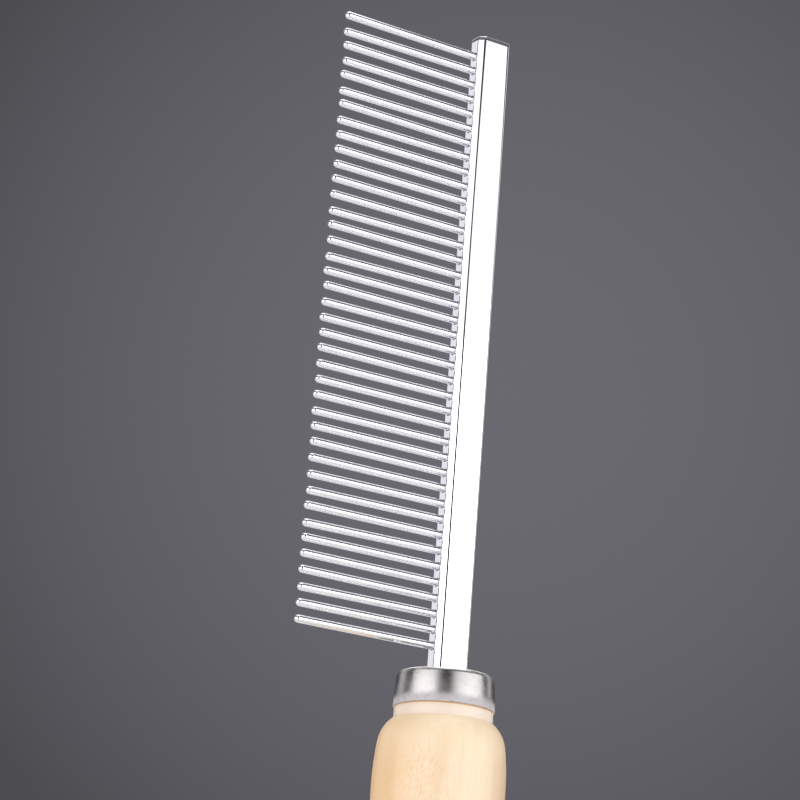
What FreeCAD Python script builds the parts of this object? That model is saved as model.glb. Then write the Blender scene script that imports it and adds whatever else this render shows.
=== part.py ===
"""A steel grooming comb: round pins driven into a chamfered steel bar, whose tang sits in a turned
wooden handle under a pressed steel ferrule.

Millimetres. The comb stands on the flat end of its handle: the origin is the middle of that end,
+Z runs up the handle and the bar, the pins point along -X and the broad faces look along +Y and -Y.
"""

import FreeCAD
import Part

import math
import os

import Sketcher

SIZES = {
    # the row of pins
    "pin_count": 40,
    "pin_pitch": 3.0,
    "pin_diameter": 1.5,
    "pin_reach": 29.5,
    "pin_depth": 4.0,
    # the bar that holds them, and its tang
    "bar_width": 7.2,
    "bar_thickness": 4.5,
    "bar_chamfer": 1.0,
    "back_rounding": 1.2,
    "edge_softening": 1.0,
    "top_rounding": 0.55,
    "margin_above_pins": 4.0,
    "margin_below_pins": 5.0,
    "tang_width": 5.2,
    "tang_thickness": 3.4,
    "tang_length": 46.5,
    "tang_point": 1.2,
    # the ferrule
    "ferrule_height": 6.5,
    "ferrule_wall": 0.5,
    "rim_radius": 9.4,
    "crown_radius": 9.1,
    "crown_rounding": 0.9,
    # the handle, in radii and in heights above its flat end
    "grip_length": 105.0,
    "spigot_chamfer": 0.4,
    "neck_radius": 9.15,
    "neck_height": 2.35,
    "shoulder_radius": 9.5,
    "shoulder_rounding": 6.3,
    "belly_radius": 12.3,
    "belly_height": 91.0,
    "belly_crown_radius": 53.0,
    "waist_radius": 10.2,
    "waist_height": 57.0,
    "palm_radius": 12.2,
    "palm_height": 24.0,
    "palm_side_radius": 260.0,
    "butt_rounding": 2.5,
}

FIRST_POINT = 1
LAST_POINT = 2
CENTRE = 3
ORIGIN = (-1, 1)
HORIZONTAL_AXIS = -1
VERTICAL_AXIS = -2
UP = FreeCAD.Vector(0, 0, 1)
SAME = 0.001  # two directions or heights this close are the same

doc = FreeCAD.newDocument("grooming_comb")
sheet = doc.addObject("Spreadsheet::Sheet", "sizes")
for row, (alias, size) in enumerate(SIZES.items(), 1):
    sheet.set(f"A{row}", alias)
    sheet.set(f"B{row}", str(size))
    sheet.setAlias(f"B{row}", alias)
doc.recompute()


def expression(text):
    """The text with each size's name turned into a reference to its cell."""
    words = text.replace("(", "( ").replace(")", " )").split()
    return " ".join(f"sizes.{word}" if word in SIZES else word for word in words)


def new_body(label):
    body = doc.addObject("PartDesign::Body", label)
    body.Label = label
    return body


def origin_feature(body, role):
    return next(feature for feature in body.Origin.OriginFeatures if feature.Role == role)


def new_sketch(body, name, plane, offset=None):
    """An empty sketch on one of the body's own planes, moved along the plane's normal by offset."""
    sketch = body.newObject("Sketcher::SketchObject", name)
    sketch.AttachmentSupport = (origin_feature(body, plane), "")
    sketch.MapMode = "FlatFace"
    if offset:
        sketch.setExpression("AttachmentOffset.Base.z", expression(offset))
    return sketch


def bind(sketch, constraint, text):
    """Adds a constraint and ties its value to the sheet."""
    index = sketch.addConstraint(constraint)
    sketch.setExpression(f"Constraints[{index}]", expression(text))


def place(sketch, point, across=None, up=None):
    """Fixes a point of the sketch at expressions across and up from the origin."""
    drawn = sketch.getPoint(*point)
    if across:
        bind(sketch, Sketcher.Constraint("DistanceX", *ORIGIN, *point, drawn.x), across)
    if up:
        bind(sketch, Sketcher.Constraint("DistanceY", *ORIGIN, *point, drawn.y), up)


def join(sketch, one, other):
    sketch.addConstraint(Sketcher.Constraint("Coincident", *one, *other))


def add_line(sketch, start, end, upright=False, level=False):
    """A line between two (across, up) points, kept upright or level. Returns its number."""
    line = Part.LineSegment(FreeCAD.Vector(*start, 0), FreeCAD.Vector(*end, 0))
    number = sketch.addGeometry(line, False)
    if upright:
        sketch.addConstraint(Sketcher.Constraint("Vertical", number))
    if level:
        sketch.addConstraint(Sketcher.Constraint("Horizontal", number))
    return number


def add_arc(sketch, centre, radius, first_angle, last_angle):
    """An arc that turns anticlockwise from first_angle to last_angle. Returns its number."""
    circle = Part.Circle(FreeCAD.Vector(*centre, 0), UP, radius)
    return sketch.addGeometry(Part.ArcOfCircle(circle, first_angle, last_angle), False)


def add_rectangle(sketch, width, thickness):
    """A rectangle centred on the sketch's origin, its sides tied to two of the sizes."""
    half_width, half_depth = SIZES[width] / 2, SIZES[thickness] / 2
    corners = [
        (-half_width, -half_depth),
        (half_width, -half_depth),
        (half_width, half_depth),
        (-half_width, half_depth),
    ]
    sides = []
    for start, end in zip(corners, corners[1:] + corners[:1]):
        level = start[1] == end[1]
        sides.append(add_line(sketch, start, end, upright=not level, level=level))
    for side, following in zip(sides, sides[1:] + sides[:1]):
        join(sketch, (side, LAST_POINT), (following, FIRST_POINT))
    bottom, right = sides[0], sides[1]
    across = (bottom, FIRST_POINT, bottom, LAST_POINT)
    bind(sketch, Sketcher.Constraint("DistanceX", *across, 2 * half_width), width)
    along = (right, FIRST_POINT, right, LAST_POINT)
    bind(sketch, Sketcher.Constraint("DistanceY", *along, 2 * half_depth), thickness)
    opposite = (bottom, FIRST_POINT, right, LAST_POINT)
    sketch.addConstraint(Sketcher.Constraint("Symmetric", *opposite, *ORIGIN))


def add_bar_outline(sketch):
    """The bar's section: a rectangle whose two corners on the pins' side are chamfered."""
    half_width, half_depth = SIZES["bar_width"] / 2, SIZES["bar_thickness"] / 2
    chamfer = SIZES["bar_chamfer"]
    corners = [
        (half_width, -half_depth),
        (half_width, half_depth),
        (chamfer - half_width, half_depth),
        (-half_width, half_depth - chamfer),
        (-half_width, chamfer - half_depth),
        (chamfer - half_width, -half_depth),
    ]
    sides = [
        add_line(sketch, start, end) for start, end in zip(corners, corners[1:] + corners[:1])
    ]
    for side, following in zip(sides, sides[1:] + sides[:1]):
        join(sketch, (side, LAST_POINT), (following, FIRST_POINT))
    back, upper, upper_chamfer, pin_side, lower_chamfer, _ = sides
    mirrored_ends = [
        (back, FIRST_POINT, back, LAST_POINT),
        (pin_side, FIRST_POINT, pin_side, LAST_POINT),
        (upper, LAST_POINT, lower_chamfer, LAST_POINT),
    ]
    for ends in mirrored_ends:
        sketch.addConstraint(Sketcher.Constraint("Symmetric", *ends, HORIZONTAL_AXIS))
    sketch.addConstraint(Sketcher.Constraint("Horizontal", upper))
    place(sketch, (back, LAST_POINT), across="bar_width / 2", up="bar_thickness / 2")
    place(sketch, (pin_side, FIRST_POINT), up="bar_thickness / 2 - bar_chamfer")
    to_face = Sketcher.Constraint("DistanceX", pin_side, FIRST_POINT, *ORIGIN, half_width)
    bind(sketch, to_face, "bar_width / 2")
    to_chamfer = (upper, LAST_POINT, *ORIGIN, half_width - chamfer)
    bind(sketch, Sketcher.Constraint("DistanceX", *to_chamfer), "bar_width / 2 - bar_chamfer")


def revolve(body, sketch, axis):
    turned = body.newObject("PartDesign::Revolution", f"{sketch.Name}_turned")
    turned.Profile = sketch
    turned.ReferenceAxis = (sketch, [axis])
    turned.Angle = 360.0
    doc.recompute()
    return turned


def pad(body, sketch, length, reversed_way=False):
    padded = body.newObject("PartDesign::Pad", f"{sketch.Name}_pad")
    padded.Profile = sketch
    padded.setExpression("Length", expression(length))
    padded.Reversed = reversed_way
    doc.recompute()
    return padded


def pocket(body, sketch, length, reversed_way=False):
    """Cuts the sketch into the body, against its normal unless reversed, and checks that it cut."""
    before = body.Shape.Volume
    cut = body.newObject("PartDesign::Pocket", f"{sketch.Name}_cut")
    cut.Profile = sketch
    cut.setExpression("Length", expression(length))
    cut.Reversed = reversed_way
    doc.recompute()
    if not body.Shape.Volume < before:
        raise RuntimeError(f"{cut.Name} cut nothing")
    return cut


def edges_where(shape, wanted):
    """The names of the edges whose middle point and direction the function wanted accepts."""
    names = []
    for number, edge in enumerate(shape.Edges, 1):
        first, last = edge.ParameterRange
        middle = edge.valueAt((first + last) / 2)
        if wanted(edge, middle):
            names.append(f"Edge{number}")
    return names


def runs_up(edge):
    """True of a straight edge parallel to Z."""
    return edge.Curve.TypeId == "Part::GeomLine" and edge.Curve.Direction.cross(UP).Length < SAME


def soften(body, kind, name, edges, size, reach="Radius"):
    """A Fillet or Chamfer on named edges of the body's last feature."""
    base = body.Tip
    made = body.newObject(f"PartDesign::{kind}", name)
    made.Base = (base, edges)
    made.setExpression(reach, expression(size))
    doc.recompute()
    return made


def make_pin(number):
    """One round pin with a domed tip. It is drawn along +X from the bar's face, then turned round."""
    body = new_body(f"pin_{number:02d}")
    sketch = new_sketch(body, f"pin_{number:02d}_outline", "XZ_Plane")
    reach, depth = SIZES["pin_reach"], SIZES["pin_depth"]
    radius = SIZES["pin_diameter"] / 2
    seat = add_line(sketch, (-depth, radius), (-depth, 0), upright=True)
    axis = add_line(sketch, (-depth, 0), (reach, 0), level=True)
    dome = add_arc(sketch, (reach - radius, 0), radius, 0, math.pi / 2)
    side = add_line(sketch, (reach - radius, radius), (-depth, radius), level=True)
    join(sketch, (seat, LAST_POINT), (axis, FIRST_POINT))
    join(sketch, (axis, LAST_POINT), (dome, FIRST_POINT))
    sketch.addConstraint(Sketcher.Constraint("Tangent", dome, LAST_POINT, side, FIRST_POINT))
    join(sketch, (side, LAST_POINT), (seat, FIRST_POINT))
    sketch.addConstraint(Sketcher.Constraint("PointOnObject", dome, CENTRE, HORIZONTAL_AXIS))
    sketch.addConstraint(Sketcher.Constraint("PointOnObject", dome, FIRST_POINT, HORIZONTAL_AXIS))
    bind(sketch, Sketcher.Constraint("Radius", dome, radius), "pin_diameter / 2")
    place(sketch, (axis, LAST_POINT), across="pin_reach")
    inward = Sketcher.Constraint("DistanceX", axis, FIRST_POINT, *ORIGIN, depth)
    bind(sketch, inward, "pin_depth")
    revolve(body, sketch, "H_Axis")
    body.Placement = FreeCAD.Placement(FreeCAD.Vector(), FreeCAD.Rotation(UP, 180))
    body.setExpression("Placement.Base.x", expression("- bar_width / 2"))
    height = f"grip_length + ferrule_height + margin_below_pins + {number - 1} * pin_pitch"
    body.setExpression("Placement.Base.z", expression(height))
    return body


def make_spine():
    """The bar, which stands on the ferrule, with its tang below and a blind hole for every pin."""
    body = new_body("spine")
    section = new_sketch(body, "bar_section", "XY_Plane")
    add_bar_outline(section)
    pad(body, section, "margin_below_pins + ( pin_count - 1 ) * pin_pitch + margin_above_pins")

    back = edges_where(body.Shape, lambda edge, at: runs_up(edge) and at.x > 0)
    soften(body, "Fillet", "back_edges", back, "back_rounding")
    front = edges_where(body.Shape, lambda edge, at: runs_up(edge) and at.x < 0)
    soften(body, "Fillet", "front_edges", front, "edge_softening")
    top = body.Shape.BoundBox.ZMax
    end = edges_where(body.Shape, lambda edge, at: at.z > top - SAME)
    soften(body, "Fillet", "top_edges", end, "top_rounding")

    tang = new_sketch(body, "tang_section", "XY_Plane")
    add_rectangle(tang, "tang_width", "tang_thickness")
    pad(body, tang, "tang_length", reversed_way=True)
    bottom = body.Shape.BoundBox.ZMin
    point = edges_where(body.Shape, lambda edge, at: at.z < bottom + SAME)
    soften(body, "Chamfer", "tang_end", point, "tang_point", "Size")

    hole = new_sketch(body, "pin_hole", "YZ_Plane", offset="- bar_width / 2")
    lowest = FreeCAD.Vector(0, SIZES["margin_below_pins"], 0)
    diameter = SIZES["pin_diameter"]
    round_hole = hole.addGeometry(Part.Circle(lowest, UP, diameter / 2), False)
    bind(hole, Sketcher.Constraint("Diameter", round_hole, diameter), "pin_diameter")
    on_axis = Sketcher.Constraint("PointOnObject", round_hole, CENTRE, VERTICAL_AXIS)
    hole.addConstraint(on_axis)
    place(hole, (round_hole, CENTRE), up="margin_below_pins")
    undrilled = body.Shape.Volume
    drilled = pocket(body, hole, "pin_depth", reversed_way=True)
    one_hole = undrilled - body.Shape.Volume

    row = body.newObject("PartDesign::LinearPattern", "pin_holes")
    row.Originals = [drilled]
    row.Direction = (origin_feature(body, "Z_Axis"), [""])
    row.setExpression("Length", expression("( pin_count - 1 ) * pin_pitch"))
    row.setExpression("Occurrences", expression("pin_count"))
    body.Tip = row
    doc.recompute()
    drilled_away = undrilled - body.Shape.Volume
    if round(drilled_away / one_hole, 2) != SIZES["pin_count"]:
        raise RuntimeError("the row of holes isn't complete")

    body.setExpression("Placement.Base.z", expression("grip_length + ferrule_height"))
    return body


def make_ferrule():
    """A pressed cap with a tapered wall, a rounded crown and a slot for the tang."""
    body = new_body("ferrule")
    height, wall, rounding = SIZES["ferrule_height"], SIZES["ferrule_wall"], SIZES["crown_rounding"]
    rim, crown = SIZES["rim_radius"], SIZES["crown_radius"]
    taper = math.atan2(rim - crown, height - rounding)
    outline = new_sketch(body, "ferrule_outline", "XZ_Plane")
    rim_edge = add_line(outline, (rim - wall, 0), (rim, 0), level=True)
    outside = add_line(outline, (rim, 0), (crown, height - rounding))
    crown_arc = add_arc(
        outline, (crown - rounding, height - rounding), rounding, taper, math.pi / 2
    )
    top = add_line(outline, (crown - rounding, height), (0, height), level=True)
    axis = add_line(outline, (0, height), (0, height - wall), upright=True)
    ceiling = add_line(outline, (0, height - wall), (crown - wall, height - wall), level=True)
    inside = add_line(outline, (crown - wall, height - wall), (rim - wall, 0))
    join(outline, (rim_edge, LAST_POINT), (outside, FIRST_POINT))
    tangent_below = Sketcher.Constraint("Tangent", outside, LAST_POINT, crown_arc, FIRST_POINT)
    tangent_above = Sketcher.Constraint("Tangent", crown_arc, LAST_POINT, top, FIRST_POINT)
    outline.addConstraint([tangent_below, tangent_above])
    join(outline, (top, LAST_POINT), (axis, FIRST_POINT))
    join(outline, (axis, LAST_POINT), (ceiling, FIRST_POINT))
    join(outline, (ceiling, LAST_POINT), (inside, FIRST_POINT))
    join(outline, (inside, LAST_POINT), (rim_edge, FIRST_POINT))
    rim_level = Sketcher.Constraint("PointOnObject", rim_edge, FIRST_POINT, HORIZONTAL_AXIS)
    on_axis = Sketcher.Constraint("PointOnObject", top, LAST_POINT, VERTICAL_AXIS)
    outline.addConstraint([rim_level, on_axis])
    bind(outline, Sketcher.Constraint("Radius", crown_arc, rounding), "crown_rounding")
    place(outline, (rim_edge, FIRST_POINT), across="rim_radius - ferrule_wall")
    place(outline, (rim_edge, LAST_POINT), across="rim_radius")
    place(outline, (outside, LAST_POINT), across="crown_radius")
    place(outline, (top, LAST_POINT), up="ferrule_height")
    place(
        outline,
        (ceiling, LAST_POINT),
        across="crown_radius - ferrule_wall",
        up="ferrule_height - ferrule_wall",
    )
    revolve(body, outline, "V_Axis")

    slot = new_sketch(body, "tang_slot", "XY_Plane", offset="ferrule_height")
    add_rectangle(slot, "tang_width", "tang_thickness")
    pocket(body, slot, "2 * ferrule_wall")
    body.setExpression("Placement.Base.z", expression("grip_length"))
    return body


def bend_radius(rise, run):
    """The radius of two equal arcs that join two parallel lines, rise apart, over the length run."""
    return (rise * rise + run * run) / (4 * rise)


def add_bend(sketch, crest, dip, crest_is_lower):
    """A double curve between a crest and a dip, upright at both. Returns (crest arc, dip arc)."""
    run = abs(dip[1] - crest[1])
    radius = bend_radius(crest[0] - dip[0], run)
    turn = math.asin(run / (2 * radius))
    crest_centre = (crest[0] - radius, crest[1])
    dip_centre = (dip[0] + radius, dip[1])
    if crest_is_lower:
        crest_arc = add_arc(sketch, crest_centre, radius, 0, turn)
        dip_arc = add_arc(sketch, dip_centre, radius, math.pi, math.pi + turn)
        meeting = (crest_arc, LAST_POINT, dip_arc, LAST_POINT)
        upright_ends = [(crest_arc, FIRST_POINT), (dip_arc, FIRST_POINT)]
    else:
        crest_arc = add_arc(sketch, crest_centre, radius, -turn, 0)
        dip_arc = add_arc(sketch, dip_centre, radius, math.pi - turn, math.pi)
        meeting = (crest_arc, FIRST_POINT, dip_arc, FIRST_POINT)
        upright_ends = [(crest_arc, LAST_POINT), (dip_arc, LAST_POINT)]
    sketch.addConstraint(Sketcher.Constraint("Tangent", *meeting))
    sketch.addConstraint(Sketcher.Constraint("Equal", crest_arc, dip_arc))
    for arc, end in upright_ends:
        sketch.addConstraint(Sketcher.Constraint("Horizontal", arc, CENTRE, arc, end))
    return crest_arc, dip_arc


def make_handle():
    """The turned handle: flat butt, palm swell, waist, belly, rounded shoulder, neck and spigot."""
    body = new_body("handle")
    size = SIZES
    outline = new_sketch(body, "handle_outline", "XZ_Plane")
    grip = size["grip_length"]
    palm = (size["palm_radius"], size["palm_height"])
    waist = (size["waist_radius"], size["waist_height"])
    belly = (size["belly_radius"], size["belly_height"])
    neck_top = (size["neck_radius"], grip)
    neck_foot = (size["neck_radius"], grip - size["neck_height"])
    spigot_foot = (size["rim_radius"] - size["ferrule_wall"], grip)
    spigot_height = grip + size["ferrule_height"] - size["ferrule_wall"]
    spigot_top = (size["crown_radius"] - size["ferrule_wall"], spigot_height)

    # from the butt up to the palm swell
    side_radius, rounding = size["palm_side_radius"], size["butt_rounding"]
    side_centre = palm[0] - side_radius
    lean = math.asin((palm[1] - rounding) / (side_radius - rounding))
    flat_radius = side_centre + (side_radius - rounding) * math.cos(lean)
    butt = add_line(outline, (0, 0), (flat_radius, 0), level=True)
    corner = add_arc(outline, (flat_radius, rounding), rounding, -math.pi / 2, -lean)
    palm_side = add_arc(outline, (side_centre, palm[1]), side_radius, -lean, 0)

    # two double curves, palm to waist and waist to belly
    palm_arc, waist_lower = add_bend(outline, palm, waist, crest_is_lower=True)
    belly_lower, waist_upper = add_bend(outline, belly, waist, crest_is_lower=False)

    # belly to shoulder to neck
    crown_radius, shoulder_radius = size["belly_crown_radius"], size["shoulder_rounding"]
    foot = (size["shoulder_radius"], neck_foot[1])
    crown_centre = belly[0] - crown_radius
    towards_foot = (foot[0] - crown_centre, foot[1] - belly[1])
    reach = math.hypot(*towards_foot)
    gap = crown_radius - shoulder_radius
    spread = math.acos((gap * gap + reach * reach - shoulder_radius**2) / (2 * gap * reach))
    turn = math.atan2(towards_foot[1], towards_foot[0]) - spread
    shoulder_centre = (crown_centre + gap * math.cos(turn), belly[1] + gap * math.sin(turn))
    foot_turn = math.atan2(foot[1] - shoulder_centre[1], foot[0] - shoulder_centre[0])
    belly_upper = add_arc(outline, (crown_centre, belly[1]), crown_radius, 0, turn)
    shoulder = add_arc(outline, shoulder_centre, shoulder_radius, turn, foot_turn)

    # neck, spigot and axis
    ledge = add_line(outline, foot, neck_foot, level=True)
    neck = add_line(outline, neck_foot, neck_top, upright=True)
    seat = add_line(outline, neck_top, spigot_foot, level=True)
    chamfer = size["spigot_chamfer"]
    spigot_edge = (spigot_top[0], spigot_height - chamfer)
    top_edge = (spigot_top[0] - chamfer, spigot_height)
    spigot = add_line(outline, spigot_foot, spigot_edge)
    bevel = add_line(outline, spigot_edge, top_edge)
    top = add_line(outline, top_edge, (0, spigot_height), level=True)
    axis = add_line(outline, (0, spigot_height), (0, 0), upright=True)

    join(outline, (axis, LAST_POINT), (butt, FIRST_POINT))
    join(outline, (butt, FIRST_POINT), ORIGIN)
    for one, other in [
        ((butt, LAST_POINT), (corner, FIRST_POINT)),
        ((corner, LAST_POINT), (palm_side, FIRST_POINT)),
        ((belly_upper, LAST_POINT), (shoulder, FIRST_POINT)),
    ]:
        outline.addConstraint(Sketcher.Constraint("Tangent", *one, *other))
    join(outline, (palm_side, LAST_POINT), (palm_arc, FIRST_POINT))
    join(outline, (waist_lower, FIRST_POINT), (waist_upper, LAST_POINT))
    join(outline, (belly_lower, LAST_POINT), (belly_upper, FIRST_POINT))
    level_centre = (palm_side, CENTRE, palm_side, LAST_POINT)
    outline.addConstraint(Sketcher.Constraint("Horizontal", *level_centre))
    level_centre = (belly_upper, CENTRE, belly_upper, FIRST_POINT)
    outline.addConstraint(Sketcher.Constraint("Horizontal", *level_centre))
    chain = [shoulder, ledge, neck, seat, spigot, bevel, top, axis]
    for piece, following in zip(chain, chain[1:]):
        join(outline, (piece, LAST_POINT), (following, FIRST_POINT))

    place(outline, (palm_side, LAST_POINT), across="palm_radius", up="palm_height")
    place(outline, (waist_lower, FIRST_POINT), across="waist_radius", up="waist_height")
    place(outline, (belly_upper, FIRST_POINT), across="belly_radius", up="belly_height")
    place(outline, (ledge, FIRST_POINT), across="shoulder_radius", up="grip_length - neck_height")
    place(outline, (neck, LAST_POINT), across="neck_radius", up="grip_length")
    place(outline, (seat, LAST_POINT), across="rim_radius - ferrule_wall")
    place(
        outline,
        (spigot, LAST_POINT),
        across="crown_radius - ferrule_wall",
        up="grip_length + ferrule_height - ferrule_wall - spigot_chamfer",
    )
    place(
        outline,
        (bevel, LAST_POINT),
        across="crown_radius - ferrule_wall - spigot_chamfer",
        up="grip_length + ferrule_height - ferrule_wall",
    )
    for arc, name in [
        (corner, "butt_rounding"),
        (palm_side, "palm_side_radius"),
        (belly_upper, "belly_crown_radius"),
        (shoulder, "shoulder_rounding"),
    ]:
        bind(outline, Sketcher.Constraint("Radius", arc, size[name]), name)
    revolve(body, outline, "V_Axis")

    socket = new_sketch(
        body, "tang_socket", "XY_Plane", offset="grip_length + ferrule_height - ferrule_wall"
    )
    add_rectangle(socket, "tang_width", "tang_thickness")
    pocket(body, socket, "tang_length - ferrule_wall")
    return body


def check(pieces):
    """Stops the build unless every object recomputed and every piece is one sound solid."""
    doc.recompute()
    for thing in doc.Objects:
        if "Invalid" in thing.State or "Error" in thing.State:
            raise RuntimeError(f"{thing.Label} failed: {thing.State}")
        if thing.TypeId == "Sketcher::SketchObject" and not thing.FullyConstrained:
            raise RuntimeError(f"{thing.Label} isn't fully constrained")
    for piece in pieces:
        shape = piece.Shape
        if shape.isNull() or not shape.isValid() or len(shape.Solids) != 1:
            raise RuntimeError(f"{piece.Label} isn't one valid solid")


def write(pieces):
    os.makedirs("parts", exist_ok=True)
    for piece in pieces:
        piece.Shape.exportStep(f"parts/{piece.Label}.step")


pieces = [make_handle(), make_ferrule(), make_spine()]
pieces += [make_pin(number + 1) for number in range(SIZES["pin_count"])]
check(pieces)
write(pieces)
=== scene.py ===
"""The looks of a steel grooming comb with a turned wooden handle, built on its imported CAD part.

Metres, in the row frame: the comb stands on the flat end of its handle, +Z up. The pins point
along -X and the bar's broad faces look along -Y (front) and +Y (back). Azimuth 0 is to the front
and 90 is to +X.
"""

import math
import random

import bmesh
import bpy
import numpy as np
from mathutils import Matrix, Vector, noise


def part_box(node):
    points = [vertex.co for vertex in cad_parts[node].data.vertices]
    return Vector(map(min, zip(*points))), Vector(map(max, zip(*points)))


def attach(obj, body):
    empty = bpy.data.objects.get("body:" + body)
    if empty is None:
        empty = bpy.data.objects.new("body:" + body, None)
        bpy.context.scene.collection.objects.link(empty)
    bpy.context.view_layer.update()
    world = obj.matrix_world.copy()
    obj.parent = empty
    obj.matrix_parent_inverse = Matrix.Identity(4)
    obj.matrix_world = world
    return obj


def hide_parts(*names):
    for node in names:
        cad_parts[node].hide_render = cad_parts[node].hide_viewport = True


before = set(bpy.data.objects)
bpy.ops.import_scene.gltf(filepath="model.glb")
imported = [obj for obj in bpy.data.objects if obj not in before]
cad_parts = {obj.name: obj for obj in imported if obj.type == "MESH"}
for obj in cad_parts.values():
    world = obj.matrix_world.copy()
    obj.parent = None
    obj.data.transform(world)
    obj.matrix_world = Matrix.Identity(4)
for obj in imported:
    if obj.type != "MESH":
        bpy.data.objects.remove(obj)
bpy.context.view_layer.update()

MM = 0.001
PIN_NODES = sorted(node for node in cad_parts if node.startswith("pin_"))

# the bar, where a pair is for its foot and its top, whose edges buffing has left different
BAR_CHAMFER = 1.0 * MM
PIN_SIDE_ROUNDINGS = (0.98 * MM, 0.80 * MM)
FAR_SIDE_ROUNDINGS = (1.0 * MM, 1.15 * MM)
LEAST_ROUNDING = 0.05 * MM
TOP_EASING = (2.2 * MM, 18, 0.3 * MM)  # these three are explained at eased_edge
FOOT_ROUNDING = 0.12 * MM
FOOT_TILTS = (90, 60, 30, 0)
ROWS_PER_PIN = 8
TANG_WIDTH, TANG_THICKNESS, TANG_POINT = 5.2 * MM, 3.4 * MM, 1.2 * MM

# the pins and their holes, whose mouths are slightly countersunk
PIN_SIDES = 32
HOLE_CLEARANCE = 0.02 * MM
HOLE_MOUTH = 0.14 * MM
LEAN = math.radians(0.27)

# the ferrule
FERRULE_WALL = 0.5 * MM
FERRULE_TAPER = 0.3 * MM
FERRULE_BULGE = 0.06 * MM
CROWN_EASING = (1.3 * MM, 20, 0.8 * MM)
RIM_ROUNDING = 0.14 * MM
FERRULE_SIDES = 160

# how deep the ferrule is pressed in everywhere, how much that varies, and how many times a metre
PRESSED = 0.02 * MM
WAVES, WAVES_A_METRE = 0.03 * MM, 150
KNOCKS, KNOCKS_A_METRE = 0.008 * MM, 330

# the handle
NECK_INSET = 0.25 * MM
NECK_HEIGHT = 2.35 * MM
NECK_EDGE = 0.12 * MM
HAND_SANDING = 0.05 * MM
HANDLE_SIDES = 144

# the camera, its angles in degrees and its lens in millimetres
AIM = Vector((-14.5, 0.0, 161.3)) * MM
AIM_DISTANCE = 568.8 * MM
AZIMUTH, ELEVATION, ROLL = -31.75, -16.16, 4.38
LENS = 137.4

# the grey at the horizon, where the floor fades into the backdrop
HORIZON = (0.074, 0.073, 0.083, 1.0)


def colour(red, green, blue):
    return (red, green, blue, 1.0)


def direction(azimuth, elevation):
    """The unit vector that points so many degrees round and up."""
    turn, rise = math.radians(azimuth), math.radians(elevation)
    across = math.cos(rise)
    return Vector((math.sin(turn) * across, -math.cos(turn) * across, math.sin(rise)))


def add_to_scene(name, data):
    made = bpy.data.objects.new(name, data)
    bpy.context.scene.collection.objects.link(made)
    return made


# ---------------------------------------------------------------- meshes


def show(name, mesh, material, slot, *nodes):
    """Makes a piece of the mesh and shows it in place of these CAD nodes."""
    mesh.materials.append(material)
    piece = add_to_scene(name, mesh)
    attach(piece, "root")
    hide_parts(*nodes)
    return piece


class Shell:
    """A closed surface built from rings of points, which can carry exact normals."""

    def __init__(self):
        self.mesh = bmesh.new()
        self.normal = self.mesh.verts.layers.float_vector.new("outward")

    def ring(self, points, normals=None):
        """Points of the surface, each with its outward normal if finish is to use those."""
        made = [self.mesh.verts.new(point) for point in points]
        for vertex, normal in zip(made, normals or []):
            vertex[self.normal] = normal
        return made

    def bridge(self, one, other, skipped=()):
        """Quads between two rings of the same length, left out at the places in skipped."""
        for here, following in zip(range(len(one)), [*range(1, len(one)), 0]):
            if here not in skipped:
                corners = (one[here], one[following], other[following], other[here])
                self.mesh.faces.new(corners)

    def bridge_all(self, rings, round_again=False):
        """Quads from each ring to the next, and from the last to the first if round_again."""
        for one, other in zip(rings, rings[1:]):
            self.bridge(one, other)
        if round_again:
            self.bridge(rings[-1], rings[0])

    def cap(self, ring):
        self.mesh.faces.new(ring)

    def finish(self, name, exact_normals=False):
        """The smooth-shaded mesh, with the points that fall together merged."""
        loose = [vertex for vertex in self.mesh.verts if not vertex.link_faces]
        bmesh.ops.delete(self.mesh, geom=loose, context="VERTS")
        bmesh.ops.remove_doubles(self.mesh, verts=self.mesh.verts, dist=0.001 * MM)
        bmesh.ops.recalc_face_normals(self.mesh, faces=self.mesh.faces)
        for face in self.mesh.faces:
            face.smooth = True
        mesh = bpy.data.meshes.new(name)
        self.mesh.to_mesh(mesh)
        self.mesh.free()
        if exact_normals:
            normals = [point.vector for point in mesh.attributes["outward"].data]
            mesh.normals_split_custom_set_from_vertices(normals)
        else:
            mesh.set_sharp_from_angle(angle=math.radians(35))
        mesh.attributes.remove(mesh.attributes["outward"])
        return mesh


def arc(centre, radius, first, last, steps):
    """Points of an arc in a plane, both ends included. Angles are in degrees."""
    angles = np.radians(np.linspace(first, last, steps + 1))
    return [(centre[0] + radius * math.cos(a), centre[1] + radius * math.sin(a)) for a in angles]


def eased_edge(easing, first_tilt=0.0):
    """An outer edge that rolls over slowly and then turns tightly on to the flat top.

    easing is (radius of the slow roll, its last tilt in degrees, radius of the tight turn). Returns
    (inset from the side, depth below the top, tilt of the normal in radians) from the side up.
    """
    roll, turn, corner = easing
    turn = math.radians(turn)
    places = []
    for tilt in np.linspace(first_tilt, turn, 7)[:-1]:
        depth = corner + (roll - corner) * math.sin(turn) - roll * math.sin(tilt)
        places.append((roll * (1 - math.cos(tilt)), depth, tilt))
    for tilt in np.linspace(turn, math.pi / 2, 12):
        inset = roll - (roll - corner) * math.cos(turn) - corner * math.cos(tilt)
        places.append((inset, corner * (1 - math.sin(tilt)), tilt))
    return places


def turned_ring(radius, height, segments):
    """A level circle about the Z axis."""
    angles = np.arange(segments) * 2 * math.pi / segments
    return [Vector((radius * math.cos(a), radius * math.sin(a), height)) for a in angles]


def pressed_in(point, depth):
    """A point moved level towards the Z axis."""
    return point - Vector((point.x, point.y, 0)).normalized() * depth


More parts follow.
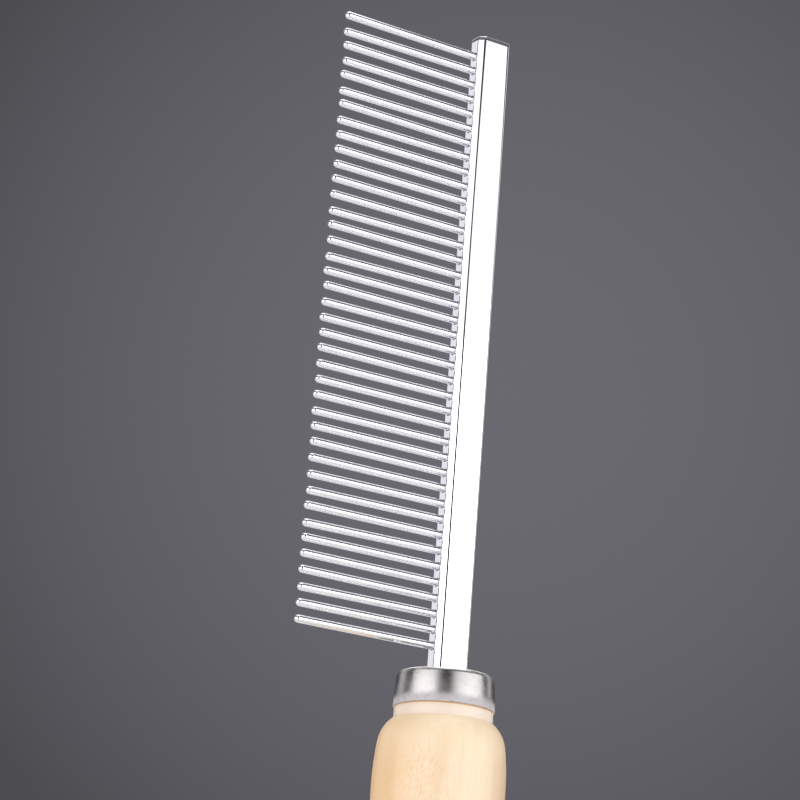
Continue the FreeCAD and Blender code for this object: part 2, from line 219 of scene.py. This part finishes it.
def tang_section(ring, height, inset=0.0):
    """The ring's points moved to the nearest place on the tang's section, at this height."""
    half_width, half_depth = TANG_WIDTH / 2 - inset, TANG_THICKNESS / 2 - inset
    return [
        Vector((
            max(-half_width, min(half_width, point.x)),
            max(-half_depth, min(half_depth, point.y)),
            height,
        ))
        for point in ring
    ]


# ---------------------------------------------------------------- the bar


def bar_corners(low, high, part):
    """The sharp corners of the bar's section, anticlockwise, each with its rounding.

    Part is 0 at the bar's foot and 1 at its top.
    """
    foot, top = FAR_SIDE_ROUNDINGS
    far_side = foot + (top - foot) * part**2
    foot, top = PIN_SIDE_ROUNDINGS
    pin_side = foot + (top - foot) * part
    return [
        (Vector((high.x, low.y)), far_side),
        (Vector((high.x, high.y)), far_side),
        (Vector((low.x + BAR_CHAMFER, high.y)), pin_side),
        (Vector((low.x, high.y - BAR_CHAMFER)), pin_side),
        (Vector((low.x, low.y + BAR_CHAMFER)), pin_side),
        (Vector((low.x + BAR_CHAMFER, low.y)), pin_side),
    ]


def bar_outline(corners, inset):
    """Points and outward normals round the bar's section, the whole moved inward by inset.

    The side that holds the pins, between the fourth corner and the fifth, is divided into
    ROWS_PER_PIN lengths. Returns the points, the normals and the place in the list where that side
    starts.
    """
    points, normals = [], []
    pin_side = None
    for number, (corner, rounding) in enumerate(corners):
        before = (corner - corners[number - 1][0]).normalized()
        after = (corners[(number + 1) % len(corners)][0] - corner).normalized()
        first, last = Vector((before.y, -before.x)), Vector((after.y, -after.x))
        radius = max(rounding, inset + LEAST_ROUNDING)
        centre = corner - (first + last) * radius / (1 + first.dot(last))
        turn = first.angle_signed(last)
        square = abs(turn) > 1
        steps = 10 if square else 6
        for step in range(steps + 1):
            normal = first.copy()
            normal.rotate(Matrix.Rotation(-turn * step / steps, 2))
            points.append(centre + normal * (radius - inset))
            normals.append(normal)
        if number == 3:
            pin_side = len(points) - 1
            fifth_centre = corners[4][0].y - (centre.y - corner.y)
            start, stop = points[-1], Vector((points[-1].x, fifth_centre))
            for step in range(1, ROWS_PER_PIN):
                points.append(start.lerp(stop, step / ROWS_PER_PIN))
                normals.append(Vector((-1, 0)))
    return points, normals, pin_side


def bar_stations(foot, top, lowest_pin, pitch):
    """(inset, height, tilt of the normal) of the bar's rings, ROWS_PER_PIN of them to a pin."""
    stations = []
    for tilt in np.radians(FOOT_TILTS):
        rise = FOOT_ROUNDING * (1 - math.sin(tilt))
        stations.append((FOOT_ROUNDING * (1 - math.cos(tilt)), foot + rise, -tilt))
    start, step = lowest_pin - pitch / 2, pitch / ROWS_PER_PIN
    rows = len(PIN_NODES) * ROWS_PER_PIN
    stations += [(0, start + row * step, 0) for row in range(rows + 1)]
    stations += [(inset, top - depth, tilt) for inset, depth, tilt in eased_edge(TOP_EASING)]
    return stations


def border_of(rings, near, far):
    """The points round the edge of the patch between two places on these rings."""
    border = [rings[0][place] for place in range(near, far)]
    border += [ring[far] for ring in rings[:-1]]
    border += [rings[-1][place] for place in range(far, near, -1)]
    border += [ring[near] for ring in rings[:0:-1]]
    return border


def drill(shell, border, face_x, bottom_x, centre_height, radius):
    """A round blind hole inside a border of points on the pins' side of the bar."""
    centre = Vector((face_x, 0, centre_height))
    rays = [(vertex.co - centre).normalized() for vertex in border]
    outward = [Vector((-1, 0, 0))] * len(rays)
    mouth = shell.ring([centre + ray * (radius + HOLE_MOUTH) for ray in rays], outward)
    inward = [-ray for ray in rays]
    deeper = Vector((HOLE_MOUTH, 0, 0))
    throat = shell.ring([centre + deeper + ray * radius for ray in rays], inward)
    bottom = Vector((bottom_x, 0, centre_height))
    end = shell.ring([bottom + ray * radius for ray in rays], inward)
    shell.bridge_all([border, mouth, throat, end])
    shell.cap(end)


def make_bar(chrome):
    """The bar with its blind holes and buffed edges, and the tang below it."""
    low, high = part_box("spine")
    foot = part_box("ferrule")[1].z
    first_pin, last_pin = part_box(PIN_NODES[0]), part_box(PIN_NODES[-1])
    pin_radius = (first_pin[1].z - first_pin[0].z) / 2
    lowest, highest = first_pin[0].z + pin_radius, last_pin[1].z - pin_radius
    pitch = (highest - lowest) / (len(PIN_NODES) - 1)

    shell = Shell()
    rings = []
    for inset, height, tilt in bar_stations(foot, high.z, lowest, pitch):
        corners = bar_corners(low, high, (height - foot) / (high.z - foot))
        outline, outward, near = bar_outline(corners, inset)
        points = [Vector((*point, height)) for point in outline]
        normals = [Vector((*(way * math.cos(tilt)), math.sin(tilt))) for way in outward]
        rings.append(shell.ring(points, normals))
    far = near + ROWS_PER_PIN
    first_row = len(FOOT_TILTS)
    drilled_rows = range(first_row, first_row + len(PIN_NODES) * ROWS_PER_PIN)
    for number, (one, other) in enumerate(zip(rings, rings[1:])):
        shell.bridge(one, other, skipped=range(near, far) if number in drilled_rows else ())
    shell.cap(rings[-1])

    for number, node in enumerate(PIN_NODES):
        patch = rings[first_row + number * ROWS_PER_PIN:][:ROWS_PER_PIN + 1]
        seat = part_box(node)[1].x
        height = lowest + number * pitch
        drill(shell, border_of(patch, near, far), low.x, seat, height, pin_radius + HOLE_CLEARANCE)

    # the tang, with a bevelled end
    outline = [vertex.co.copy() for vertex in rings[0]]
    down = [Vector((0, 0, -1))] * len(outline)
    levels = ((foot, 0), (low.z + TANG_POINT, 0), (low.z, TANG_POINT))
    tang = [shell.ring(tang_section(outline, height, inset), down) for height, inset in levels]
    shell.bridge_all([rings[0], *tang])
    shell.cap(tang[-1])
    return show("steel_bar", shell.finish("steel_bar", True), chrome, "plated_steel", "spine")


# ---------------------------------------------------------------- the pins


def make_pin(node, chrome, lean_up, lean_aside):
    """A round pin with a domed tip, bent a little where it leaves the bar.

    The leans are its slopes along Z and Y.
    """
    low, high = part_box(node)
    face_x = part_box("spine")[0].x
    radius = (high.z - low.z) / 2
    middle = Vector((0, 0, (high.z + low.z) / 2))
    dome_x = low.x + radius
    stations = [(high.x, radius, 0.0), (face_x, radius, 0.0)]
    stations += [(face_x + (dome_x - face_x) * part, radius, 0.0) for part in (0.02, 0.5, 0.98)]
    stations += [
        (dome_x - radius * math.sin(t), radius * math.cos(t), t)
        for t in np.radians(np.linspace(0, 80, 9))
    ]
    shell = Shell()
    angles = np.arange(PIN_SIDES) * 2 * math.pi / PIN_SIDES
    spokes = [Vector((0, math.cos(a), math.sin(a))) for a in angles]
    rings = []
    for x, ring_radius, tilt in stations:
        free = max(0, face_x - x)
        centre = middle + Vector((x, free * lean_aside, free * lean_up))
        normals = [spoke * math.cos(tilt) - Vector((math.sin(tilt), 0, 0)) for spoke in spokes]
        rings.append(shell.ring([centre + spoke * ring_radius for spoke in spokes], normals))
    shell.bridge_all(rings)
    shell.cap(rings[0])
    free = face_x - low.x
    tip_place = middle + Vector((low.x, free * lean_aside, free * lean_up))
    tip = shell.ring([tip_place], [Vector((-1, 0, 0))])[0]
    for here, following in zip(rings[-1], rings[-1][1:] + rings[-1][:1]):
        shell.mesh.faces.new((here, following, tip))
    name = node.replace("pin_", "steel_pin_")
    return show(name, shell.finish(name, True), chrome, "plated_steel", node)


def make_pins(chrome):
    """All the pins, each with a slight lean of its own."""
    draw = random.Random(7)
    for node in PIN_NODES:
        make_pin(node, chrome, draw.gauss(0, LEAN), draw.gauss(0, LEAN))


# ---------------------------------------------------------------- the ferrule


def dent(point):
    """How far a place on the ferrule is pressed in: shallow dents and a slight waviness."""
    wave = noise.noise(point * WAVES_A_METRE) * WAVES
    knock = noise.noise(point * KNOCKS_A_METRE + Vector((5, 1, 3))) * KNOCKS
    return max(0, PRESSED + wave + knock)


def ferrule_profile(rim, foot, top):
    """(radius, height) up the ferrule's outside and over its crown, and then back down inside."""
    crown = rim - FERRULE_TAPER
    easing = eased_edge(CROWN_EASING, math.atan2(FERRULE_TAPER, top - foot))
    wall_foot, wall_top = foot + RIM_ROUNDING, top - easing[0][1]
    outside = arc((rim - RIM_ROUNDING, wall_foot), RIM_ROUNDING, -90, 0, 4)
    for part in np.linspace(0, 1, 25)[1:-1]:
        bulge = FERRULE_BULGE * (1 - (2 * part - 1) ** 2)
        height = wall_foot + (wall_top - wall_foot) * part
        outside.append((rim + (crown - rim) * part + bulge, height))
    outside += [(crown - inset, top - depth) for inset, depth, _ in easing]
    outside += [(crown - easing[-1][0] - 0.5 * MM, top), (crown / 2, top)]
    ceiling = top - FERRULE_WALL
    inside = [(crown / 2, ceiling), (crown - FERRULE_WALL, ceiling), (rim - FERRULE_WALL, foot)]
    return outside, inside


def make_ferrule(steel):
    """The pressed cap: a tapered wall, a rounded crown and a slot for the tang."""
    low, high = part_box("ferrule")
    outside, inside = ferrule_profile(high.x, low.z, high.z)
    shell = Shell()
    outer = []
    for radius, height in outside:
        circle = turned_ring(min(radius, high.x), height, FERRULE_SIDES)
        outer.append(shell.ring([pressed_in(point, dent(point)) for point in circle]))
    inner = [shell.ring(turned_ring(*place, FERRULE_SIDES)) for place in inside]
    edge = [vertex.co for vertex in outer[-1]]
    slot = [shell.ring(tang_section(edge, height)) for height in (high.z, high.z - FERRULE_WALL)]
    shell.bridge_all([*outer, *slot, *inner], round_again=True)
    mesh = shell.finish("pressed_ferrule")
    return show("pressed_ferrule", mesh, steel, "ferrule_steel", "ferrule")


# ---------------------------------------------------------------- the handle


def handle_side(neck_foot):
    """(radius, height) along the turned side of the CAD handle, from its flat end to its neck."""
    places = np.array([vertex.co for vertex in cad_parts["handle"].data.vertices])
    radii, heights = np.hypot(places[:, 0], places[:, 1]), places[:, 2]
    half_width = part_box("handle")[1].x
    on_side = (radii > half_width / 2) & (heights < neck_foot + 0.01 * MM)
    side = {}
    for radius, height in sorted(zip(radii[on_side], heights[on_side])):
        side[round(height, 6)] = radius
    found = [(side[height], height) for height in sorted(side)]
    kept = found[:1]
    for point in found[1:]:
        if math.dist(point, kept[-1]) > 0.25 * MM:
            kept.append(point)
    return kept


def smooth_line(points, spacing):
    """A smooth line through the points, with a point about every spacing."""
    line = np.array(points)
    along = np.concatenate([[0], np.cumsum(np.hypot(*np.diff(line, axis=0).T))])
    slopes = np.gradient(line, along, axis=0)
    out = []
    for number in range(len(line) - 1):
        length = along[number + 1] - along[number]
        steps = max(1, round(length / spacing))
        for t in np.arange(steps) / steps:
            out.append(
                line[number] * (2 * t**3 - 3 * t**2 + 1)
                + slopes[number] * length * (t**3 - 2 * t**2 + t)
                + line[number + 1] * (3 * t**2 - 2 * t**3)
                + slopes[number + 1] * length * (t**3 - t**2)
            )
    return [tuple(point) for point in out] + [tuple(line[-1])]


def sanded(point):
    """How far hand sanding has taken a place on the handle below its turned size."""
    stretched = Vector((point.x * 90, point.y * 90, point.z * 45))
    return HAND_SANDING * (0.5 + 0.5 * noise.noise(stretched))


def handle_profile(rim, rim_height, top):
    """(radius, height) from the middle of the handle's flat end up to the top of its spigot."""
    neck_foot = rim_height - NECK_HEIGHT
    spigot, neck = rim - FERRULE_WALL, rim - NECK_INSET
    side = smooth_line(handle_side(neck_foot), 0.8 * MM)
    flat_end = [(side[0][0] * part, 0) for part in (0.02, 0.35, 0.7, 0.97)]
    ledge = [
        (side[-1][0] - NECK_EDGE * 0.3, neck_foot + NECK_EDGE * 0.25),
        (neck, neck_foot + NECK_EDGE * 0.3),
    ]
    neck_wall = [(neck, neck_foot + NECK_HEIGHT * part) for part in (0.15, 0.4, 0.7, 0.95)]
    neck_top = [(neck - NECK_EDGE * 0.3, rim_height - 0.02 * MM)]
    hidden_by_ferrule = [
        (spigot - 0.05 * MM, rim_height),
        (spigot - 0.35 * MM, top - 0.4 * MM),
        (spigot - 0.7 * MM, top),
    ]
    return [*flat_end, *side, *ledge, *neck_wall, *neck_top, *hidden_by_ferrule]


def make_handle(wood):
    """The turned handle, its crisp neck under the ferrule and the socket for the tang."""
    rim, rim_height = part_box("ferrule")[1].x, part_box("ferrule")[0].z
    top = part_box("handle")[1].z
    shell = Shell()
    rings = []
    for radius, height in handle_profile(rim, rim_height, top):
        points = turned_ring(radius, height, HANDLE_SIDES)
        if 0 < height < rim_height - NECK_HEIGHT:
            points = [pressed_in(point, sanded(point)) for point in points]
        rings.append(shell.ring(points))
    collar = turned_ring((rim - FERRULE_WALL) / 2, top, HANDLE_SIDES)
    socket = [shell.ring(tang_section(collar, height)) for height in (top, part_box("spine")[0].z)]
    shell.bridge_all([*rings, shell.ring(collar), *socket])
    shell.cap(rings[0])
    shell.cap(socket[-1])
    mesh = shell.finish("turned_handle")
    return show("turned_handle", mesh, wood, "handle_wood", "handle")


# ---------------------------------------------------------------- materials


class Nodes:
    """A node tree that short calls add to."""

    def __init__(self, tree):
        self.tree = tree

    def feed(self, socket, value):
        """Links a socket to the value where that is a socket too, or else sets it to the value."""
        if isinstance(value, bpy.types.NodeSocket):
            self.tree.links.new(value, socket)
        else:
            socket.default_value = value

    def put(self, node, inputs):
        """Feeds a node's inputs, which are named with _ for each space, or numbered."""
        for name, value in inputs.items():
            key = name if isinstance(name, int) else name.replace("_", " ")
            self.feed(node.inputs[key], value)

    def add(self, kind, inputs=None, **settings):
        node = self.tree.nodes.new(kind)
        for name, value in settings.items():
            setattr(node, name, value)
        self.put(node, inputs or {})
        return node

    def maths(self, operation, *values):
        return self.add("ShaderNodeMath", dict(enumerate(values)), operation=operation).outputs[0]

    def product(self, first, *others):
        for other in others:
            first = self.maths("MULTIPLY", first, other)
        return first

    def along(self, place, way):
        """How far a place lies along a direction."""
        node = self.add("ShaderNodeVectorMath", {0: place, 1: way}, operation="DOT_PRODUCT")
        return node.outputs["Value"]

    def span(self, value, low, high, to_low=0.0, to_high=1.0, kind="SMOOTHSTEP"):
        """Value between low and high, taken to between to_low and to_high."""
        ends = {"From_Min": low, "From_Max": high, "To_Min": to_low, "To_Max": to_high}
        node = self.add("ShaderNodeMapRange", {"Value": value, **ends}, interpolation_type=kind)
        return node.outputs[0]

    def mix(self, factor, one, other):
        """One colour where the factor is 0, the other where it is 1."""
        node = self.add("ShaderNodeMix", data_type="RGBA")
        sockets = {socket.identifier: socket for socket in (*node.inputs, *node.outputs)}
        self.feed(sockets["Factor_Float"], factor)
        self.feed(sockets["A_Color"], one)
        self.feed(sockets["B_Color"], other)
        return sockets["Result_Color"]


class Finish(Nodes):
    """A material, whose patterns are placed in row-frame metres."""

    def __init__(self, name, **principled):
        self.material = bpy.data.materials.new(name)
        self.material.use_nodes = True
        super().__init__(self.material.node_tree)
        self.surface = self.tree.nodes["Principled BSDF"]
        self.put(self.surface, principled)
        self.place = self.add("ShaderNodeTexCoord").outputs["Object"]
        self.height = self.add("ShaderNodeSeparateXYZ", {"Vector": self.place}).outputs["Z"]

    def noise(self, size, detail=3.0, roughness=0.55, tilt=(0.0, 0.0, 0.0)):
        """Noise whose features are so many millimetres long, which may differ along X, Y and Z."""
        sides = Vector(size if isinstance(size, tuple) else (size,) * 3) * MM
        placing = {"Vector": self.place, "Rotation": tilt, "Scale": sides}
        mapping = self.add("ShaderNodeMapping", placing, vector_type="TEXTURE")
        inputs = {
            "Vector": mapping.outputs[0],
            "Scale": 1.0,
            "Detail": detail,
            "Roughness": roughness,
        }
        return self.add("ShaderNodeTexNoise", inputs).outputs["Fac"]

    def bump(self, height, distance, strength, below=None):
        inputs = {"Height": height, "Distance": distance, "Strength": strength}
        if below is not None:
            inputs["Normal"] = below
        return self.add("ShaderNodeBump", inputs).outputs["Normal"]

    def facing(self, azimuth, near, far):
        """1 on the side of the piece towards an azimuth, from near to far out from the Z axis."""
        return self.span(self.along(self.place, direction(azimuth, 0)), near, far)

    def done(self, **inputs):
        self.put(self.surface, inputs)
        return self.material


def chrome_finish(name, lines, dullest):
    """Bright chrome plate: a clear mirror with faint orange peel, wipe marks and polishing lines.

    lines is how long the polishing lines are, in millimetres, along X, Y and Z.
    """
    chrome = Finish(name, Metallic=1.0)
    peel = chrome.noise(4.0, detail=1.0)
    wipes = chrome.noise((11.0, 11.0, 1.4), detail=4.0)
    smears = chrome.noise(18.0, detail=4.0)
    polishing = chrome.noise(lines, detail=1.0)
    dull = chrome.span(smears, 0.45, 0.72, dullest / 2, dullest)
    roughness = chrome.maths("ADD", dull, chrome.span(wipes, 0.5, 0.75, 0.0, 0.03))
    tint = chrome.mix(smears, colour(0.84, 0.845, 0.87), colour(0.90, 0.90, 0.92))
    relief = chrome.bump(peel, 0.012 * MM, 0.25)
    relief = chrome.bump(polishing, 0.0002 * MM, 0.1, relief)
    return chrome.done(Base_Color=tint, Roughness=roughness, Normal=relief)


def ferrule_finish():
    """Satin pressed steel, brushed round, scuffed, duller where the hand reaches its rim, with a
    painted highlight round its crown.
    """
    steel = Finish("pressed_steel")
    rim_height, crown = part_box("ferrule")[0].z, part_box("ferrule")[1].z
    brushing = steel.noise((2.0, 2.0, 0.19), detail=2.0)
    clouds = steel.noise(3.5, detail=4.0)
    scuffs = steel.noise((1.0, 1.0, 0.5), detail=5.0, roughness=0.7)
    scratches = steel.noise((2.2, 2.2, 0.12), detail=2.0, tilt=(0.5, 0.6, 0.0))
    worn_edge = steel.maths("ADD", steel.height, steel.product(clouds, 1.2 * MM))
    worn = steel.span(worn_edge, rim_height + 0.9 * MM, rim_height + 3.1 * MM, 1.0, 0.0)
    stains = steel.product(steel.span(scuffs, 0.54, 0.68), 0.5)
    # painted highlight: the top of the crown is rubbed metal, given a far brighter tint so that it
    # shines as a bright line
    rubbed_crown_highlight = steel.span(steel.height, crown - 0.75 * MM, crown - 0.4 * MM)

    tint = steel.mix(clouds, colour(0.36, 0.34, 0.33), colour(0.46, 0.44, 0.435))
    tint = steel.mix(worn, tint, colour(0.55, 0.515, 0.52))
    tint = steel.mix(stains, tint, colour(0.26, 0.22, 0.20))
    # the crown's painted highlight
    tint = steel.mix(rubbed_crown_highlight, tint, colour(0.86, 0.84, 0.80))
    tint = steel.mix(steel.span(scratches, 0.62, 0.72, 0.0, 0.5), tint, colour(0.22, 0.20, 0.19))

    satin = steel.span(clouds, 0.35, 0.7, 0.25, 0.36)
    roughness = steel.maths("ADD", satin, steel.product(worn, 0.3))
    relief = steel.bump(brushing, 0.003 * MM, 0.4)
    relief = steel.bump(scuffs, 0.010 * MM, 0.5, relief)
    bare = steel.span(worn, 0.0, 1.0, 1.0, 0.18)
    return steel.done(Base_Color=tint, Metallic=bare, Roughness=roughness, Normal=relief)


def growth_rings(wood):
    """The year rings, about a pith that lies outside the handle and leans a little."""
    placing = {"Vector": wood.place, "Location": (0.045, 0.03, 0.0), "Rotation": (0.08, -0.06, 0.0)}
    from_pith = wood.add("ShaderNodeMapping", placing).outputs[0]
    ripple = {"Distortion": 2.5, "Detail": 3.0, "Detail_Scale": 0.6}
    kind = {"wave_type": "RINGS", "rings_direction": "Z", "wave_profile": "SIN"}
    inputs = {"Vector": from_pith, "Scale": 120.0, **ripple}
    return wood.add("ShaderNodeTexWave", inputs, **kind).outputs["Fac"]


def grain_colour(wood, fibres, streaks, drift):
    """Year rings under paler streaks, darker fibres and broad changes along the wood."""
    mottles = wood.noise((4.5, 4.5, 9.0), detail=3.0)
    base = wood.mix(growth_rings(wood), colour(0.935, 0.755, 0.535), colour(0.92, 0.715, 0.485))
    base = wood.mix(wood.span(streaks, 0.4, 0.7, 0.0, 0.6), base, colour(0.94, 0.785, 0.575))
    base = wood.mix(wood.span(fibres, 0.42, 0.72, 0.0, 0.55), base, colour(0.88, 0.61, 0.35))
    base = wood.mix(wood.span(drift, 0.45, 0.7, 0.0, 0.35), base, colour(0.91, 0.65, 0.38))
    return wood.mix(wood.span(mottles, 0.48, 0.7, 0.0, 0.5), base, colour(0.92, 0.67, 0.41))


def side_colour(wood, base):
    """Painted shade down two sides of the handle: warmer and darker towards azimuth -115, duller
    towards azimuth 58.
    """
    # painted shade, warm and dark, down the side towards azimuth -115
    painted_warm_shade = wood.product(wood.facing(-115, 2.0 * MM, 12.0 * MM), 0.92)
    base = wood.mix(painted_warm_shade, base, colour(0.885, 0.575, 0.31))
    # painted shade, dull, down the side towards azimuth 58
    painted_dull_shade = wood.facing(58, 7.5 * MM, 12.0 * MM)
    return wood.mix(painted_dull_shade, base, colour(0.77, 0.55, 0.34))


def fleck_colour(wood, base, rim_height):
    """Short tilted flecks on one side, which fade out where the shoulder shows pale end grain."""
    end_grain = wood.span(wood.height, rim_height - 14.0 * MM, rim_height - 5.0 * MM)
    rays = wood.noise((0.2, 0.4, 2.0), detail=1.0, tilt=(0.0, 0.40, 0.0))
    flecks = wood.product(
        wood.span(rays, 0.5, 0.66),
        wood.span(wood.noise((6.0, 6.0, 14.0), detail=2.0), 0.35, 0.55, 0.25, 1.0),
        wood.facing(-84, 2.0 * MM, 11.0 * MM),
        wood.span(end_grain, 0.0, 1.0, 0.95, 0.3),
    )
    base = wood.mix(flecks, base, colour(0.87, 0.56, 0.28))
    return wood.mix(wood.product(end_grain, 0.3), base, colour(0.98, 0.82, 0.56))


def neck_colour(wood, base, drift, rim_height):
    """The bare neck, darker towards the ferrule, with a thin dark orange line just under its rim.
    """
    above_ledge = rim_height - NECK_HEIGHT + 0.02 * MM
    on_neck = wood.product(wood.maths("GREATER_THAN", wood.height, above_ledge), 0.6)
    base = wood.mix(on_neck, base, colour(0.83, 0.74, 0.67))
    # darker towards the ferrule's rim
    darker_near_rim = wood.maths("ADD", wood.height, wood.product(drift, 1.2 * MM))
    darker_near_rim = wood.span(darker_near_rim, rim_height - 0.7 * MM, rim_height + 0.9 * MM, 0.0, 0.5)
    base = wood.mix(darker_near_rim, base, colour(0.84, 0.62, 0.40))
    # a thin dark orange line just under the rim
    under_rim_line = wood.span(wood.height, rim_height - 0.36 * MM, rim_height - 0.14 * MM, 0.0, 0.9)
    return wood.mix(under_rim_line, base, colour(0.62, 0.31, 0.10))


def wood_finish():
    """Pale turned hardwood under a thin varnish, with the lathe's faint turning lines."""
    wood = Finish("pale_hardwood", Coat_Weight=0.2, Coat_Roughness=0.25)
    rim_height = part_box("ferrule")[0].z
    drift = wood.noise((17.0, 17.0, 70.0), detail=2.0)
    fibres = wood.noise((0.35, 0.35, 9.0), detail=3.0)
    streaks = wood.noise((1.3, 1.3, 40.0), detail=3.0)
    turning = wood.noise((125.0, 125.0, 0.4), detail=2.0)
    base = grain_colour(wood, fibres, streaks, drift)
    # painted shade down two sides of the handle
    base = side_colour(wood, base)
    base = fleck_colour(wood, base, rim_height)
    base = neck_colour(wood, base, drift, rim_height)
    relief = wood.bump(fibres, 0.03 * MM, 0.25)
    relief = wood.bump(turning, 0.02 * MM, 0.15, relief)
    roughness = wood.span(streaks, 0.3, 0.7, 0.38, 0.5)
    return wood.done(Base_Color=base, Roughness=roughness, Normal=relief)


# ---------------------------------------------------------------- stage, light, camera


def face_comb(thing, away):
    """Turns a flat thing that stands in this direction from the comb to face it."""
    thing.rotation_mode = "QUATERNION"
    thing.rotation_quaternion = away.to_track_quat("Z", "Y")


def softbox(name, azimuth, elevation, size, radiance, tint, distance=1.0):
    """A lit panel that faces the comb from so many degrees round and up.

    Its size is its width and height, and its radiance is how bright its face looks.
    """
    away = direction(azimuth, elevation)
    light = bpy.data.lights.new(name, "AREA")
    light.shape = "RECTANGLE"
    light.size, light.size_y = size
    light.energy = radiance * math.pi * light.size * light.size_y
    light.color = tint
    lamp = add_to_scene(name, light)
    lamp.location = AIM + away * distance
    face_comb(lamp, away)
    lamp.visible_camera = False


def make_lights():
    """Two wide panels with the camera between them, a ceiling, and fills at the side and back.

    Each wide panel has a dimmer band above it, so its reflection fades at the top.
    """
    white, cool = (0.98, 0.985, 1.0), (0.94, 0.94, 1.0)
    softbox("key_right", 24, 5.8, (1.45, 0.50), 3.0, white)
    softbox("band_right", 24, 23.6, (1.45, 0.135), 1.15, white)
    softbox("key_left", -82, 5.8, (1.15, 0.50), 3.0, white)
    softbox("band_left", -82, 25.0, (1.15, 0.185), 1.3, white)
    softbox("strip_right", 90, 10.6, (0.28, 0.66), 0.95, white)
    softbox("fill_left", -154, 10.6, (0.47, 0.66), 0.87, cool)
    softbox("fill_back", 150, 42, (1.0, 0.5), 1.2, white, distance=1.1)
    softbox("ceiling", 0, 89.9, (1.1, 1.1), 1.5, (0.97, 0.97, 1.0), distance=1.1)


def disc(name, radius, segments, material):
    """A flat round thing that stands round the comb and isn't part of it."""
    shell = bmesh.new()
    bmesh.ops.create_circle(shell, cap_ends=True, segments=segments, radius=radius)
    mesh = bpy.data.meshes.new(name)
    shell.to_mesh(mesh)
    shell.free()
    mesh.materials.append(material)
    made = add_to_scene(name, mesh)
    return made


def make_card():
    """An oval black card round the camera, the dark thing that the polished edges reflect."""
    black = Finish("black_card", Roughness=1.0, Specular_IOR_Level=0.0)
    shade = black.mix(black.noise(20.0), colour(0.04, 0.04, 0.045), colour(0.06, 0.06, 0.065))
    card = disc("black_card", 1.0, 64, black.done(Base_Color=shade))
    half_width, half_height, distance = 0.168, 0.26, 0.5
    away = direction(AZIMUTH, 0)
    card.location = Vector((AIM.x, AIM.y, half_height)) + away * distance
    card.scale = (half_width, half_height, 1)
    face_comb(card, away)
    card.visible_camera = False


def floor_finish():
    """Pale and faintly glowing, giving way to a sweep of light and then to the horizon's grey."""
    pale = Finish("pale_floor", Roughness=0.6, Emission_Strength=0.11)
    shade = pale.mix(pale.noise(170.0), colour(0.83, 0.83, 0.84), colour(0.87, 0.87, 0.88))
    pale.done(Base_Color=shade, Emission_Color=shade)
    distance = pale.add("ShaderNodeVectorMath", {0: pale.place}, operation="LENGTH")
    distance = distance.outputs["Value"]
    sweep = pale.mix(pale.span(distance, 1.1, 4.5), colour(0.93, 0.93, 0.95), HORIZON)
    far_floor = pale.add("ShaderNodeEmission", {"Color": sweep})
    is_far = pale.span(distance, 0.6, 1.02)
    layers = {"Fac": is_far, 1: pale.surface.outputs[0], 2: far_floor.outputs[0]}
    whole = pale.add("ShaderNodeMixShader", layers)
    pale.put(pale.tree.nodes["Material Output"], {"Surface": whole.outputs[0]})
    return pale.material


def make_floor():
    """A wide round floor just under the comb."""
    floor = disc("floor", 9.0, 128, floor_finish())
    floor.location.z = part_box("handle")[0].z - 0.05 * MM


def make_backdrop():
    """A grey studio backdrop with a faint pool of light behind the comb, paler overhead."""
    world = bpy.data.worlds.new("backdrop")
    bpy.context.scene.world = world
    world.use_nodes = True
    sky = Nodes(world.node_tree)
    towards = sky.add("ShaderNodeTexCoord").outputs["Generated"]
    behind_comb = direction(AZIMUTH + 178, 16.5)
    pool_edge = math.cos(math.radians(11.5))
    pool = sky.span(sky.along(towards, behind_comb), pool_edge, 1.0, kind="LINEAR")
    grey = sky.mix(pool, HORIZON, colour(0.147, 0.143, 0.163))
    rise = sky.add("ShaderNodeSeparateXYZ", {"Vector": towards}).outputs["Z"]
    low, high = math.sin(math.radians(27)), math.sin(math.radians(38))
    overhead = sky.span(rise, low, high, kind="LINEAR")
    shade = sky.mix(overhead, grey, colour(0.17, 0.17, 0.185))
    sky.put(sky.tree.nodes["Background"], {"Color": shade})


def make_camera():
    """The photograph's view, from in front, left of the comb and below it."""
    camera = bpy.data.cameras.new("camera")
    camera.lens = LENS
    camera.sensor_width = 36.0
    camera.clip_start, camera.clip_end = 0.01, 30.0
    eye = add_to_scene("camera", camera)
    turn = Matrix.Rotation(math.radians(AZIMUTH), 4, "Z")
    tilt = Matrix.Rotation(math.radians(90 - ELEVATION), 4, "X")
    roll = Matrix.Rotation(math.radians(ROLL), 4, "Z")
    pose = turn @ tilt @ roll
    pose.translation = AIM + pose.col[2].to_3d() * AIM_DISTANCE
    eye.matrix_world = pose
    bpy.context.scene.camera = eye


# ---------------------------------------------------------------- the scene

make_handle(wood_finish())
make_ferrule(ferrule_finish())
make_bar(chrome_finish("chrome_bar", (0.4, 0.4, 8.0), 0.06))
make_pins(chrome_finish("chrome_wire", (8.0, 0.2, 0.2), 0.16))
make_floor()
make_backdrop()
make_lights()
make_card()
make_camera()
bpy.context.scene.view_settings.view_transform = "Standard"
